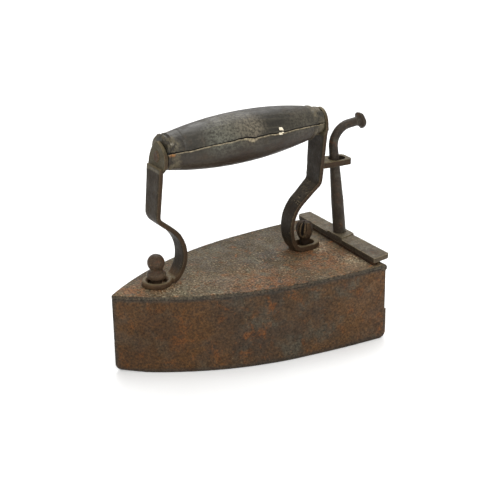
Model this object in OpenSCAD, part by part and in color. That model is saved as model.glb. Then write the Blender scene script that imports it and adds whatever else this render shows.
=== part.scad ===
// Box iron: a hollow wedge-shaped iron body that takes a heating slug through a
// sliding rear gate, with a turned wooden grip on two forged uprights.
//
// Frame: +X points to the toe, +Y to the iron's left, +Z up. The origin is the
// centre of the sole face. Places along the iron are given as distances from
// the rear end of the side wall, and from_rear() turns them into X.

/* [Body] */
// Length of the sole, rear edge to toe
body_length = 165; // [155:1:175]
// Width across the rear of the body
body_width = 92.8; // [88:0.2:96]
// Height from the sole face to the top of the top plate
body_height = 50.7; // [50.7:0.1:54]
// Thickness of the wrapped side wall
wall_thickness = 3; // [2:0.1:3.2]
// Thickness of the sole plate
sole_thickness = 9; // [8:0.5:10]
// Thickness of the top plate
top_thickness = 2.6; // [2:0.1:3]
// Length of the gently curved rear part of each flank
flank_length = 61.5; // [58:0.5:65]
// Radius of the gently curved rear part of each flank
flank_radius = 585; // [540:5:640]
// Radius of the rolled end of the top plate above each wall
roll_radius = 2.4; // [2:0.1:2.4]

/* [Slug chamber] */
// Height of the two rest bars above the sole plate
rest_height = 3; // [2:0.5:4]
// Height of the heating slug
slug_height = 24; // [20:1:25]
// Distance that the slug stays inside the outer outline
slug_inset = 7.7; // [7.7:0.1:10]
// Radius of the hook hole in the slug
slug_hole_radius = 5; // [4:0.5:6]

/* [Gate] */
// Thickness of the sliding gate plate
gate_thickness = 3; // [2.5:0.1:3]
// Distance from the rear end to the gate plate's rear face
gate_rear = 4.6; // [4.6:0.1:5]
// Running gap between the gate plate and its guides
gate_gap = 0.35; // [0.3:0.05:0.5]
// Thickness of the bar across the top of the gate
bar_thickness = 3.4; // [3:0.1:3.6]
// Gap between the top plate and the bar when the gate is down
bar_gap = 1.5; // [1.2:0.1:1.8]
// Height of the raised boss under the lift rod
boss_height = 1.2; // [1:0.1:1.5]

/* [Lift rod] */
// Distance from the rear end to the rod's foot
rod_foot = 2.8; // [2.6:0.1:3]
// Sideways place of the rod
rod_side = -2; // [-2.2:0.1:-1.8]
// Forward lean of the rod, in degrees
rod_lean = 5.5; // [5.4:0.1:5.7]
// Radius of the rod at its foot
rod_foot_radius = 4.15; // [4:0.05:4.15]
// Radius of the rod where its taper starts
rod_shaft_radius = 4; // [3.9:0.05:4]
// Radius of the rod at its top bend
rod_top_radius = 2.9; // [2.7:0.05:2.9]
// Length of the rod below the taper
rod_low_length = 22; // [20:1:24]
// Length of the taper
rod_taper_length = 36.4; // [36:0.1:37]
// Centre-line radius of the top bend
bend_radius = 12.4; // [12:0.1:12.6]
// Length of the straight end behind the bend
rod_tail = 5; // [4.5:0.5:6]
// How far the rod's end still rises, in degrees
rod_rise = 5.5; // [5:0.5:6]
// Radius of the knob
knob_radius = 5.4; // [5:0.1:6]

/* [Guide eye] */
// Height of the guide eye's underside
guide_height = 103.9; // [103.9:0.1:105]
// Thickness of the guide eye
guide_thickness = 4; // [3.5:0.1:4]
// Half the width of the guide's slot
guide_slot_radius = 4.35; // [4.35:0.05:4.5]
// Distance between the slot's two end centres
guide_slot_spread = 2.1; // [2.1:0.1:2.5]
// Distance from the rear end to the slot's rear end centre
guide_slot_rear = 4.75; // [4.7:0.05:4.75]

/* [Handle] */
// Height of the grip's axis
grip_height = 133.7; // [133:0.1:134.5]
// Largest radius of the grip
grip_radius = 15.5; // [15:0.1:16]
// Radius of the barrel's long curve
grip_curve = 245; // [235:1:260]
// Distance from the rear end to the grip's fattest point
grip_middle = 76; // [74:1:78]
// Distance from the rear end to the rear foot's stud
rear_foot = 28.5; // [28:0.1:29]
// Sideways place of the rear foot's stud
rear_foot_side = -3.5; // [-3.7:0.1:-3.3]
// Distance from the rear end to the front foot's stud
front_foot = 135.2; // [134.8:0.1:135.6]
// Turn of the handle about the rear foot, in degrees
handle_yaw = 2.8; // [2.6:0.1:3]
// Rearward lean of the uprights, in degrees
upright_lean = 4.8; // [4.6:0.1:5]
// Thickness of the forged straps
strap_thickness = 3; // [2.8:0.1:3]
// Radius of the core rod through the grip
core_radius = 3.4; // [3:0.1:3.5]

/* [Hidden] */
$fn = 96;
// Segments of the large outline circles
outline_fn = 1440;
// Gap between fixed pieces that fit each other
fit_gap = 0.05;
// Reach of cutting shapes past what they cut
cut = 1;

// Colours
wall_rust = "#553e2f";
top_rust = "#786c5a";
forged_iron = "#3c3732";
grip_wood = "#3a3b37";
slug_iron = "#4a4038";

half_width = body_width / 2;
top_underside = body_height - top_thickness;

// Nose arc that runs tangent from the flank arc to the toe
joint_angle = asin(flank_length / flank_radius);
joint_half_width = half_width - flank_radius * (1 - cos(joint_angle));
nose_length = body_length - flank_length;
nose_angle = 2 * atan(joint_half_width / nose_length) - joint_angle;
nose_radius = nose_length / (sin(nose_angle) - sin(joint_angle));
nose_centre_x = from_rear(flank_length) - nose_radius * sin(joint_angle);
nose_centre_y = joint_half_width - nose_radius * cos(joint_angle);

// Gate
slot_rear = gate_rear - gate_gap;
slot_front = gate_rear + gate_thickness + gate_gap;
gate_half_width = half_width - wall_thickness - 0.45;
rail_depth = 3.5;
rail_width = 4;
lip_half_width = 38;
cleat_height = 19;
cleat_bottom = 1;
cleat_proud = 1.2;
cleat_inner_half_width = 39;
cleat_rivet_radius = 1.6;
cleat_rivet_height = 4.6;
cleat_rivet_side = 40.5;
gate_bottom = sole_thickness + 0.1;
bar_bottom = body_height + bar_gap;
bar_top = bar_bottom + bar_thickness;
rod_bottom = bar_top + boss_height;
tenon_side = 25;
tenon_width = 7;
rod_tenon_radius = 2.2;

// Slug
slug_bottom = sole_thickness + rest_height + fit_gap;
slug_rear = slot_front + 0.25;
slug_hole_place = 24;
slug_hole_x = from_rear(slug_hole_place);

// Lift rod, in its own plane
rod_length = rod_low_length + rod_taper_length;
bend_sweep = 90 + rod_lean - rod_rise;
knob_length = 6.5;
// How far the rod swells where its stretches meet
weld_swell = 0.03;

// Grip and uprights, in the handle's frame
grip_front_end = 130.4;
grip_rear_end = 18.9;
// Length of the barrel square to its leaning ends
barrel_length = (grip_front_end - grip_rear_end) * cos(upright_lean);
groove_radius = 0.7;
leaf_thickness = 2.2;
leaf_half_width = 9.6;
leaf_shoulder = 6;
eye_height = 4.6;
front_eye_radius = 9.6;
rear_eye_height = 4.2;
rear_eye_radius = 7.1;
rear_eye_spread = 3.4;
rear_hole_radius = 4.7;
rear_hole_spread = 1.3;
stud_radius = 3.45;
washer_thickness = 2;
washer_radius = 7.5;
clinch_thickness = 1.8;

// Sideways place of the front foot in the handle's frame, and the lean of the
// front upright that brings it back under the grip
front_foot_side = -rear_foot_side - (front_foot - rear_foot) * tan(handle_yaw);
front_side_lean = atan(-front_foot_side / (grip_height - body_height));

// Bends of each strap from its foot up. A bend is [centre-line radius, turn in
// degrees, left turns positive], and a straight is [length].
strap_start_height = body_height + 2.1;
front_strap_start = 126;
front_bends = [
    [4.7, -50], [20.5, -40], [23.5, -50], [10],
    [6, 50 + upright_lean], [28.2]
];
rear_strap_start = 34.5;
rear_bends = [
    [4.05, 60], [24.5, 30], [22.5, 50], [14],
    [5, upright_lean - 50], [31.3]
];

// Widest strap, with room to trim it
strap_block = 24;
// Largest turn between two points of a strap's outline
strap_step = 5;
// Strap widths, each as [height, width], from the foot to the shoulder
front_widths = [[49, 10.4], [90, 10.4], [98, 14], [125.6, 15.2]];
rear_widths = [[49, 10.4], [88, 10.4], [97, 13], [128.2, 17]];

// X of a place given as its distance from the rear end of the wall
function from_rear(distance) = distance - body_length / 2;

// Point and heading, [x, y, heading], after part of a bend
function along(p, bend, part) =
    len(bend) == 1
        ? [p.x + part * bend[0] * cos(p.z), p.y + part * bend[0] * sin(p.z), p.z]
        : let (side = sign(bend[1]), heading = p.z + part * bend[1])
            [
                p.x + side * bend[0] * (sin(heading) - sin(p.z)),
                p.y + side * bend[0] * (cos(p.z) - cos(heading)),
                heading
            ];

// Centre-line points of a strap
function walk(p, bends, first = 0) =
    first == len(bends)
        ? [p]
        : let (
            bend = bends[first],
            steps = len(bend) == 1 ? 1 : ceil(abs(bend[1]) / strap_step)
        )
            concat(
                [for (i = [0:steps - 1]) along(p, bend, i / steps)],
                walk(along(p, bend, 1), bends, first + 1)
            );

// Point on one face of a strap, beside a centre-line point
function beside(p, side) =
    [p.x, p.y] + side * strap_thickness / 2 * [-sin(p.z), cos(p.z)];

// --- Outline of the body -------------------------------------------------

// One big circle and its mirror image, overlapped into a lens
module lens(x, y, radius) {
    intersection_for(side = [1, -1])
        translate([x, side * y])
            circle(radius, $fn = outline_fn);
}

// Plan of the body, drawn in by inset, cut off square at rear
module plan(inset = 0, rear = 0) {
    joint_x = from_rear(flank_length) - inset * sin(joint_angle);
    rear_x = from_rear(rear);
    union() {
        intersection() {
            lens(from_rear(0), half_width - flank_radius, flank_radius - inset);
            translate([rear_x, -half_width])
                square([joint_x - rear_x, body_width]);
        }
        intersection() {
            lens(nose_centre_x, nose_centre_y, nose_radius - inset);
            translate([joint_x, -half_width])
                square([nose_length, body_width]);
        }
    }
}

// Block given by its limits, with its X limits counted from the rear end
module block(x, y, z) {
    translate([from_rear(x[0]), y[0], z[0]])
        cube([x[1] - x[0], y[1] - y[0], z[1] - z[0]]);
}

// --- Body ----------------------------------------------------------------

module sole_plate() {
    color(wall_rust)
        difference() {
            linear_extrude(sole_thickness)
                plan(wall_thickness + fit_gap);
            for (side = [1, -1])
                cleat_rivet_bore(side);
        }
}

module slug_rests() {
    color(wall_rust)
        for (place = [[30, 31], [105, 22]])
            block([place[0], place[0] + 6], [-place[1], place[1]],
                [sole_thickness, sole_thickness + rest_height]);
}

// Rolled end of the top plate, as an X and Z place
module roll(side, gap = 0) {
    inner = half_width - wall_thickness;
    translate([from_rear(0.9), side * (inner + half_width) / 2,
        body_height - roll_radius])
        rotate([90, 0, 0])
            cylinder(h = wall_thickness + 2 * gap, r = roll_radius + gap,
                center = true);
}

module side_wall() {
    color(wall_rust)
        difference() {
            linear_extrude(top_underside)
                difference() {
                    plan();
                    plan(wall_thickness, -cut);
                }
            for (side = [1, -1])
                roll(side, fit_gap);
        }
}

// The slot for the gate, and the notch behind it
module top_plate() {
    inner = half_width - wall_thickness - fit_gap;
    color(top_rust)
        difference() {
            union() {
                translate([0, 0, top_underside])
                    linear_extrude(top_thickness)
                        plan();
                for (side = [1, -1])
                    roll(side);
            }
            block([slot_rear, slot_front], [-inner, inner],
                [top_underside - cut, body_height + cut]);
            block([-5, slot_rear + cut], [-lip_half_width, lip_half_width],
                [top_underside - cut, body_height + cut]);
            front_foot_place()
                cylinder(h = body_height + cut, r = stud_radius + fit_gap);
            rear_foot_place()
                cylinder(h = body_height + cut, r = stud_radius + fit_gap);
        }
}

// Upright strip inside the wall, in front of the gate
module gate_rail(side) {
    inner = half_width - wall_thickness - rail_width;
    color(wall_rust)
        intersection() {
            translate([0, 0, sole_thickness])
                linear_extrude(top_underside - sole_thickness)
                    plan(wall_thickness + fit_gap);
            block([slot_front, slot_front + rail_depth],
                side > 0 ? [inner, half_width] : [-half_width, -inner],
                [0, body_height]);
        }
}

module left_gate_rail() {
    gate_rail(1);
}

module right_gate_rail() {
    gate_rail(-1);
}

module cleat_rivet_bore(side) {
    translate([from_rear(-cleat_proud - cut), side * cleat_rivet_side,
        cleat_rivet_height])
        rotate([0, 90, 0])
            cylinder(h = cleat_proud + cut + 7, r = cleat_rivet_radius + fit_gap);
}

// Angle piece behind the wall end that keeps the gate from falling back
module gate_cleat(side) {
    outer = half_width - 0.3;
    flange = side > 0 ? [36, outer] : [-outer, -36];
    lip = side > 0 ? [cleat_inner_half_width, half_width]
        : [-half_width, -cleat_inner_half_width];
    top = cleat_bottom + cleat_height;
    color(wall_rust)
        difference() {
            union() {
                block([-cleat_proud, 0], flange, [cleat_bottom, top]);
                intersection() {
                    block([0, slot_rear], lip, [sole_thickness, top]);
                    linear_extrude(body_height)
                        plan(wall_thickness + fit_gap);
                }
            }
            cleat_rivet_bore(side);
        }
}

module left_gate_cleat() {
    gate_cleat(1);
}

module right_gate_cleat() {
    gate_cleat(-1);
}

module cleat_rivets() {
    head_height = 1;
    color(wall_rust)
        for (side = [1, -1])
            translate([from_rear(-cleat_proud), side * cleat_rivet_side,
                cleat_rivet_height])
                rotate([0, 90, 0]) {
                    translate([0, 0, -head_height])
                        cylinder(h = head_height, r1 = 1.6, r2 = 2.8);
                    cylinder(h = cleat_proud + 6.5, r = cleat_rivet_radius);
                }
}

// --- Gate ----------------------------------------------------------------

module gate_tenons(gap = 0) {
    for (side = [1, -1])
        block([gate_rear - gap, gate_rear + gate_thickness + gap],
            [side * tenon_side - tenon_width / 2 - gap,
                side * tenon_side + tenon_width / 2 + gap],
            [bar_bottom - 1, bar_top + gap]);
}

module gate_plate() {
    color(wall_rust)
        union() {
            block([gate_rear, gate_rear + gate_thickness],
                [-gate_half_width, gate_half_width], [gate_bottom, bar_bottom]);
            gate_tenons();
        }
}

// Hand-forged bar, a little out of square, with a boss under the rod
module gate_bar() {
    far_round = 3;
    plan_points = [
        [8.6, -44.6 + far_round], [7.7, 44.8], [-4.4, 41.6], [-1.5, -44.8],
        [8.6 - far_round, -44.8]
    ];
    boss_points = [[8.5, -8], [8.2, 8.7], [-3.7, 5.3], [-3.2, -8]];
    color(top_rust)
        difference() {
            union() {
                translate([from_rear(0), 0, bar_bottom])
                    linear_extrude(bar_thickness)
                        union() {
                            polygon(plan_points);
                            translate([8.6 - far_round, -44.8 + far_round])
                                circle(far_round);
                        }
                translate([from_rear(0), 0, bar_top - 1])
                    linear_extrude(boss_height + 1)
                        polygon(boss_points);
            }
            gate_tenons(fit_gap);
            translate([from_rear(rod_foot), rod_side, bar_bottom - cut])
                cylinder(h = 10, r = rod_tenon_radius + fit_gap);
        }
}

// Frame of the rod's foot
module rod_place() {
    translate([from_rear(rod_foot), rod_side, rod_bottom])
        children();
}

// Tapered rod that leans forward and bends back at the top
module gate_rod() {
    color(forged_iron)
        rod_place() {
            translate([0, 0, bar_bottom - rod_bottom])
                cylinder(h = bar_thickness + boss_height + 1,
                    r = rod_tenon_radius);
            difference() {
                rotate([0, rod_lean, 0])
                    translate([0, 0, -1]) {
                        cylinder(h = rod_low_length + 1, r1 = rod_foot_radius,
                            r2 = rod_shaft_radius);
                        translate([0, 0, rod_low_length + 1])
                            cylinder(h = rod_taper_length,
                                r1 = rod_shaft_radius, r2 = rod_top_radius);
                    }
                translate([-10, -10, -5])
                    cube([20, 20, 5]);
            }
            rotate([0, rod_lean, 0])
                translate([0, 0, rod_length])
                    sphere(rod_top_radius + weld_swell);
            rod_end()
                sphere(rod_top_radius + weld_swell);
            rod_top()
                rotate([90, 0, 0])
                    rotate([0, 0, -rod_lean])
                        rotate_extrude(angle = bend_sweep)
                            translate([bend_radius, 0])
                                circle(rod_top_radius);
            rod_end()
                cylinder(h = rod_tail, r = rod_top_radius);
        }
}

// Centre of the rod's bend, seen from its foot
module rod_top() {
    translate([
        rod_length * sin(rod_lean) - bend_radius * cos(rod_lean), 0,
        rod_length * cos(rod_lean) + bend_radius * sin(rod_lean)
    ])
        children();
}

// Where the rod's straight end starts, with +Z pointing rearward along it
module rod_end() {
    rod_top()
        rotate([0, rod_rise, 0])
            translate([0, 0, bend_radius])
                rotate([0, -90, 0])
                    children();
}

module gate_knob() {
    color(forged_iron)
        rod_place()
            rod_end()
                translate([0, 0, rod_tail])
                    rotate_extrude()
                        polygon([
                            [0, 0], [rod_top_radius, 0], [4.5, 3],
                            [knob_radius, 3.4], [knob_radius, 5],
                            [4.4, 6.1], [2.5, knob_length], [0, knob_length]
                        ]);
}

// --- Handle --------------------------------------------------------------

// Frame of the handle: X counted from the rear end, turned about the rear foot
module handle_frame() {
    translate([from_rear(rear_foot), rear_foot_side, 0])
        rotate([0, 0, handle_yaw])
            translate([-rear_foot, 0, 0])
                children();
}

module rear_foot_place() {
    handle_frame()
        translate([rear_foot, 0, 0])
            children();
}

module front_foot_place() {
    handle_frame()
        translate([front_foot, front_foot_side, 0])
            children();
}

// Strap seen from the side, laid out bend by bend from start
module bent_strip(start, bends) {
    line = walk(start, bends);
    polygon([
        for (p = line)
            beside(p, 1),
        for (i = [len(line) - 1:-1:0])
            beside(line[i], -1)
    ]);
}

// Solid strap: the side view, narrowed to the front view's outline
module strap(start, heading, bends, widths) {
    intersection() {
        rotate([90, 0, 0])
            linear_extrude(strap_block, center = true)
                bent_strip([start, strap_start_height, heading], bends);
        rotate([90, 0, 90])
            linear_extrude(body_length)
                polygon([
                    for (row = widths)
                        [row[1] / 2, row[0]],
                    for (i = [len(widths) - 1:-1:0])
                        [-widths[i][1] / 2, widths[i][0]]
                ]);
    }
}

// Leaf-shaped plate at the top of an upright, standing on z = 0 with its back
// face at x = 0
module leaf(strap_width, height) {
    rise = height - leaf_shoulder;
    rotate([90, 0, 90])
        linear_extrude(leaf_thickness) {
            polygon([
                [-strap_width / 2, -1], [strap_width / 2, -1],
                [leaf_half_width, leaf_shoulder],
                [-leaf_half_width, leaf_shoulder]
            ]);
            intersection() {
                pointed_arch(leaf_half_width, rise);
                translate([-leaf_half_width, leaf_shoulder - 0.1])
                    square([2 * leaf_half_width, height]);
            }
        }
}

// Bore for the core rod through both leaf plates
module core_bore() {
    translate([0, 0, grip_height])
        rotate([0, 90, 0])
            cylinder(h = body_length, r = core_radius + fit_gap);
}

// Pointed arch made of two overlapping circles
module pointed_arch(half, rise) {
    radius = (rise * rise + half * half) / (2 * half);
    intersection_for(side = [1, -1])
        translate([side * (half - radius), leaf_shoulder])
            circle(radius);
}

// Room for the end of the grip, on one side of a leaf plate's back face
module grip_end_room(place, side) {
    at_grip_end(place)
        translate([side > 0 ? 0 : -20, -50, -11])
            cube([20, 100, 22]);
}

// Leans with the upright about the grip's axis at a given place
module at_grip_end(place) {
    translate([place, 0, grip_height])
        rotate([0, -upright_lean, 0])
            children();
}

module front_upright() {
    color(forged_iron)
        handle_frame()
            difference() {
                union() {
                    translate([0, front_foot_side, body_height])
                        rotate([-front_side_lean, 0, 0])
                            translate([0, 0, -body_height])
                                intersection() {
                                    strap(front_strap_start, 180, front_bends,
                                        front_widths);
                                    translate([0, -50, body_height])
                                        cube([200, 100, 200]);
                                }
                    at_grip_end(grip_front_end)
                        translate([0, 0, -8.8])
                            leaf(15.2, 19.6);
                    translate([front_foot, front_foot_side, body_height])
                        front_eye();
                }
                translate([front_foot, front_foot_side, body_height - cut])
                    cylinder(h = cut * 2, r = 4.2);
                translate([front_foot, front_foot_side, body_height])
                    cylinder(h = eye_height + 0.01, r1 = 4.2, r2 = 6.6);
                translate([0, -50, 0])
                    cube([200, 100, body_height]);
                grip_end_room(grip_front_end, -1);
                core_bore();
            }
}

// Ring with a half-round rim
module front_eye() {
    rim = eye_height / 2;
    rotate_extrude()
        union() {
            square([front_eye_radius - rim, eye_height]);
            translate([front_eye_radius - rim, rim])
                circle(rim);
        }
}

module rear_strap() {
    handle_frame()
        strap(rear_strap_start, 0, rear_bends, rear_widths);
}

// Oval outline round the rear foot's stud
module rear_eye_plan(radius, spread) {
    translate([rear_foot, 0])
        union() {
            for (side = [1, -1])
                translate([side * spread, 0])
                    circle(radius);
            square([2 * spread, 2 * radius], center = true);
        }
}

module rear_upright() {
    color(forged_iron)
        difference() {
            union() {
                rear_strap();
                handle_frame()
                    at_grip_end(grip_rear_end)
                        translate([-leaf_thickness, 0, -5.8])
                            leaf(17, 14.2);
                handle_frame()
                    translate([0, 0, body_height])
                        linear_extrude(rear_eye_height)
                            rear_eye_plan(rear_eye_radius, rear_eye_spread);
            }
            handle_frame() {
                translate([0, 0, body_height - cut])
                    linear_extrude(rear_eye_height + 2 * cut)
                        rear_eye_plan(rear_hole_radius, rear_hole_spread);
                translate([0, -50, 0])
                    cube([200, 100, body_height]);
                grip_end_room(grip_rear_end, 1);
                core_bore();
            }
        }
}

// Slotted eye, forged on to the back of the rear upright, that guides the rod
module guide_eye() {
    tongue_end = 20.1 - guide_slot_rear;
    color(forged_iron)
        difference() {
            translate([from_rear(guide_slot_rear), rod_side, guide_height])
                linear_extrude(guide_thickness)
                    difference() {
                        polygon([
                            [-6.4, -3.6], [-4.6, -5.8], [0, -6.5],
                            [guide_slot_spread, -6.7], [tongue_end, -7.6],
                            [tongue_end, 5.2], [guide_slot_spread, 6.2],
                            [-4.8, 6.4], [-6.4, 4.8]
                        ]);
                        guide_slot();
                    }
            rear_strap();
        }
}

module guide_slot() {
    for (x = [0, guide_slot_spread])
        translate([x, 0])
            circle(guide_slot_radius);
    translate([0, -guide_slot_radius])
        square([guide_slot_spread, 2 * guide_slot_radius]);
}

// Barrel of the grip, ends cut to the lean of the two leaf plates
module grip() {
    color(grip_wood)
        handle_frame()
            intersection() {
                translate([grip_middle, 0, grip_height])
                    rotate([0, 90, 0])
                        difference() {
                            rotate_extrude()
                                grip_profile();
                            cylinder(h = 200, r = core_radius + 0.1,
                                center = true);
                            for (place = [-51, -48.5, 48, 50.5])
                                groove(place);
                        }
                at_grip_end(grip_rear_end)
                    translate([fit_gap, -50, -50])
                        cube([barrel_length - 2 * fit_gap, 100, 100]);
            }
}

module grip_profile() {
    intersection() {
        translate([grip_radius - grip_curve, 0])
            circle(grip_curve, $fn = outline_fn);
        translate([0, -60])
            square([grip_radius, 120]);
    }
}

// Turned groove round the grip
module groove(place) {
    depth_radius = grip_radius - place * place / (2 * grip_curve);
    translate([0, 0, place])
        rotate_extrude()
            translate([depth_radius, 0])
                circle(groove_radius);
}

// Iron rod through the grip, peened over outside both leaf plates
module grip_core_rod() {
    head_gap = 0.4;
    head_height = 1.1;
    length = grip_front_end - grip_rear_end + 2 * (leaf_thickness + head_gap);
    color(forged_iron)
        handle_frame()
            translate([grip_rear_end - leaf_thickness - head_gap, 0, grip_height])
                rotate([0, 90, 0]) {
                    cylinder(h = length, r = core_radius);
                    translate([0, 0, length])
                        cylinder(h = head_height, r1 = 4.4, r2 = 3.2);
                    translate([0, 0, -head_height])
                        cylinder(h = head_height, r1 = 3.2, r2 = 4.4);
                }
}

// Ball-topped stud, clinched under its washer inside the body
module stud(collar_bottom, collar_top, collar_radius, ball_height, ball_radius) {
    neck_radius = 3.7;
    clinch_top = top_underside - washer_thickness - 2 * fit_gap;
    translate([0, 0, clinch_top])
        cylinder(h = collar_bottom - clinch_top, r = stud_radius);
    translate([0, 0, clinch_top - clinch_thickness])
        cylinder(h = clinch_thickness, r1 = 4, r2 = 5.2);
    translate([0, 0, collar_bottom])
        cylinder(h = collar_top - collar_bottom, r = collar_radius);
    translate([0, 0, collar_top])
        cylinder(h = ball_height - collar_top, r = neck_radius);
    translate([0, 0, ball_height])
        sphere(ball_radius);
}

module front_stud() {
    color(forged_iron)
        front_foot_place()
            stud(body_height + 3, body_height + 7.4, 5.3,
                body_height + 14, 5.1);
}

module rear_stud() {
    color(forged_iron)
        rear_foot_place()
            stud(body_height + rear_eye_height + fit_gap, body_height + 6.8,
                5.2, body_height + 13, 5);
}

module washer() {
    translate([0, 0, top_underside - washer_thickness - fit_gap])
        difference() {
            cylinder(h = washer_thickness, r = washer_radius);
            translate([0, 0, -cut])
                cylinder(h = washer_thickness + 2 * cut,
                    r = stud_radius + fit_gap);
        }
}

module front_stud_washer() {
    color(wall_rust)
        front_foot_place()
            washer();
}

module rear_stud_washer() {
    color(wall_rust)
        rear_foot_place()
            washer();
}

// --- Heating slug --------------------------------------------------------

module heating_slug() {
    color(slug_iron)
        difference() {
            translate([0, 0, slug_bottom])
                linear_extrude(slug_height)
                    plan(slug_inset, slug_rear);
            translate([slug_hole_x, 0, 0])
                cylinder(h = body_height, r = slug_hole_radius);
        }
}

sole_plate();
slug_rests();
side_wall();
top_plate();
left_gate_rail();
right_gate_rail();
left_gate_cleat();
right_gate_cleat();
cleat_rivets();
gate_plate();
gate_bar();
gate_rod();
gate_knob();
guide_eye();
front_upright();
rear_upright();
grip();
grip_core_rod();
front_stud();
rear_stud();
front_stud_washer();
rear_stud_washer();
heating_slug();
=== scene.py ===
import math

import bmesh
import bpy
import numpy as np
from mathutils import Matrix, Vector


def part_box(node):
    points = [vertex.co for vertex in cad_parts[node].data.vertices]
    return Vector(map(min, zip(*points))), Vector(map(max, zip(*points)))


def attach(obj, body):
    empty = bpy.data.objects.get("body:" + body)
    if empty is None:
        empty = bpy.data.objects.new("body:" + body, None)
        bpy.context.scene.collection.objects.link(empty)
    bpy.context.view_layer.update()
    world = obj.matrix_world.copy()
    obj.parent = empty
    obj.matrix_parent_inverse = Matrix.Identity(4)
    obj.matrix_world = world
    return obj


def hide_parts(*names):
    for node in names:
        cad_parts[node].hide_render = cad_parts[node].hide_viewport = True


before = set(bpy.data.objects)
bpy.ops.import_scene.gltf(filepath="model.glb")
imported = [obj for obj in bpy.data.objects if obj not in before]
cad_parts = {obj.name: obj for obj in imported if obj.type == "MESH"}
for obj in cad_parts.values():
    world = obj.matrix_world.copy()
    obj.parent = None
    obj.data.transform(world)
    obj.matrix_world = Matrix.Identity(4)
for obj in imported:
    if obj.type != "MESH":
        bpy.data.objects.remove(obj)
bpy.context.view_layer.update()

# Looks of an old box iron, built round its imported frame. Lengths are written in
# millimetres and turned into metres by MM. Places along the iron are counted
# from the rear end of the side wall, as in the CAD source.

MM = 0.001

WALL_LOW, WALL_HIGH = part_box("side_wall")
REAR = WALL_LOW.x
LENGTH = (WALL_HIGH.x - REAR) / MM
HALF_WIDTH = WALL_HIGH.y / MM
WALL_TOP = WALL_HIGH.z / MM
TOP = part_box("top_plate")[1].z / MM
SOLE_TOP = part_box("sole_plate")[1].z / MM
WALL_THICK = 3.0
SIDES = ((1, "left"), (-1, "right"))


def centre(node):
    low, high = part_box(node)
    return (low + high) / 2


# --- Noise ---

HASH = np.array([73856093, 19349663, 83492791])
SEED_HASH, SCRAMBLE = 2654435761, 1274126177


def lattice(cell, seed):
    """Even random numbers from 0 to 1, one for each lattice cell."""
    h = np.bitwise_xor.reduce(cell * HASH, axis=1) ^ (seed * SEED_HASH)
    h = (h ^ (h >> 13)) * SCRAMBLE
    h = h ^ (h >> 16)
    return (h & 0xFFFF) / 0xFFFF


def lumps(points, size, seed):
    """Smooth noise from -1 to 1, with lumps of about size."""
    q = points / size
    cell = np.floor(q).astype(np.int64)
    f = q - cell
    f = f * f * (3 - 2 * f)
    total = np.zeros(len(points))
    for corner in np.ndindex(2, 2, 2):
        weight = np.ones(len(points))
        for axis in range(3):
            weight = weight * (f[:, axis] if corner[axis] else 1 - f[:, axis])
        total += weight * lattice(cell + np.array(corner), seed)
    return 2 * total - 1


def layers(points, size, seed):
    """Lumps of three sizes together, each half the last, from about -1 to 1."""
    total = np.zeros(len(points))
    for k in range(3):
        total += lumps(points, size / 2**k, seed + 31 * k) / 2**k
    return total / 1.75


# --- Meshes ---

def place(points):
    """Millimetres, with X counted from the rear end, to the row frame."""
    return np.asarray(points, float) * MM + np.array([REAR, 0, 0])


def loft(loops, capped=True):
    """Vertices and faces of a skin over closed loops of equal length."""
    n, m = loops.shape[:2]
    i, j = np.meshgrid(np.arange(n - 1), np.arange(m), indexing="ij")
    k = (j + 1) % m
    faces = np.stack([i * m + j, i * m + k, (i + 1) * m + k, (i + 1) * m + j], -1)
    faces = [list(f) for f in faces.reshape(-1, 4)]
    if capped:
        faces.append(list(range(m))[::-1])
        faces.append(list(range((n - 1) * m, n * m)))
    return loops.reshape(-1, 3), faces


def join(*parts):
    """Several pairs of vertices and faces as one."""
    verts, faces, base = [], [], 0
    for v, f in parts:
        verts.append(v)
        faces += [[base + k for k in face] for face in f]
        base += len(v)
    return np.concatenate(verts), faces


def moved(part, change):
    """Vertices and faces with a change made to the vertices."""
    return change(part[0]), part[1]


def mesh_of(name, part, weld=1e-6):
    """Mesh of vertices and faces. Points nearer than weld become one."""
    verts, faces = part
    mesh = bpy.data.meshes.new(name)
    mesh.from_pydata([tuple(v) for v in verts], [], faces)
    if weld:
        bm = bmesh.new()
        bm.from_mesh(mesh)
        bmesh.ops.remove_doubles(bm, verts=bm.verts, dist=weld)
        bmesh.ops.dissolve_degenerate(bm, dist=1e-7, edges=bm.edges)
        bmesh.ops.recalc_face_normals(bm, faces=bm.faces)
        bm.to_mesh(mesh)
        bm.free()
    mesh.update()
    return mesh


def read(mesh, name):
    """A vector of each vertex, its place or its normal, as rows."""
    values = np.empty(len(mesh.vertices) * 3)
    mesh.vertices.foreach_get(name, values)
    return values.reshape(-1, 3)


def keep(mesh, name, values):
    """Stores a number for each vertex under a name, for the materials."""
    stored = mesh.attributes.new(name, "FLOAT", "POINT")
    stored.data.foreach_set("value", values.ravel().astype(np.float32))


def sink(mesh, cut):
    """Moves each vertex inwards by its cut, in millimetres."""
    co = read(mesh, "co") - read(mesh, "normal") * (cut * MM)[:, None]
    mesh.vertices.foreach_set("co", co.ravel())
    mesh.update()


def linked(name, data):
    obj = bpy.data.objects.new(name, data)
    bpy.context.scene.collection.objects.link(obj)
    return obj


def fused(name, part, voxel, rounds):
    """Overlapping closed shapes run together into one forged lump."""
    lump = linked(name, mesh_of(name, part))
    remesh = lump.modifiers.new("Forge", "REMESH")
    remesh.mode = "VOXEL"
    remesh.voxel_size = voxel * MM
    smooth = lump.modifiers.new("Dress", "SMOOTH")
    smooth.factor = 0.5
    smooth.iterations = rounds
    bpy.context.view_layer.update()
    ready = lump.evaluated_get(bpy.context.evaluated_depsgraph_get())
    result = bpy.data.meshes.new_from_object(ready)
    bpy.data.objects.remove(lump)
    result.name = name
    return result


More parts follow.
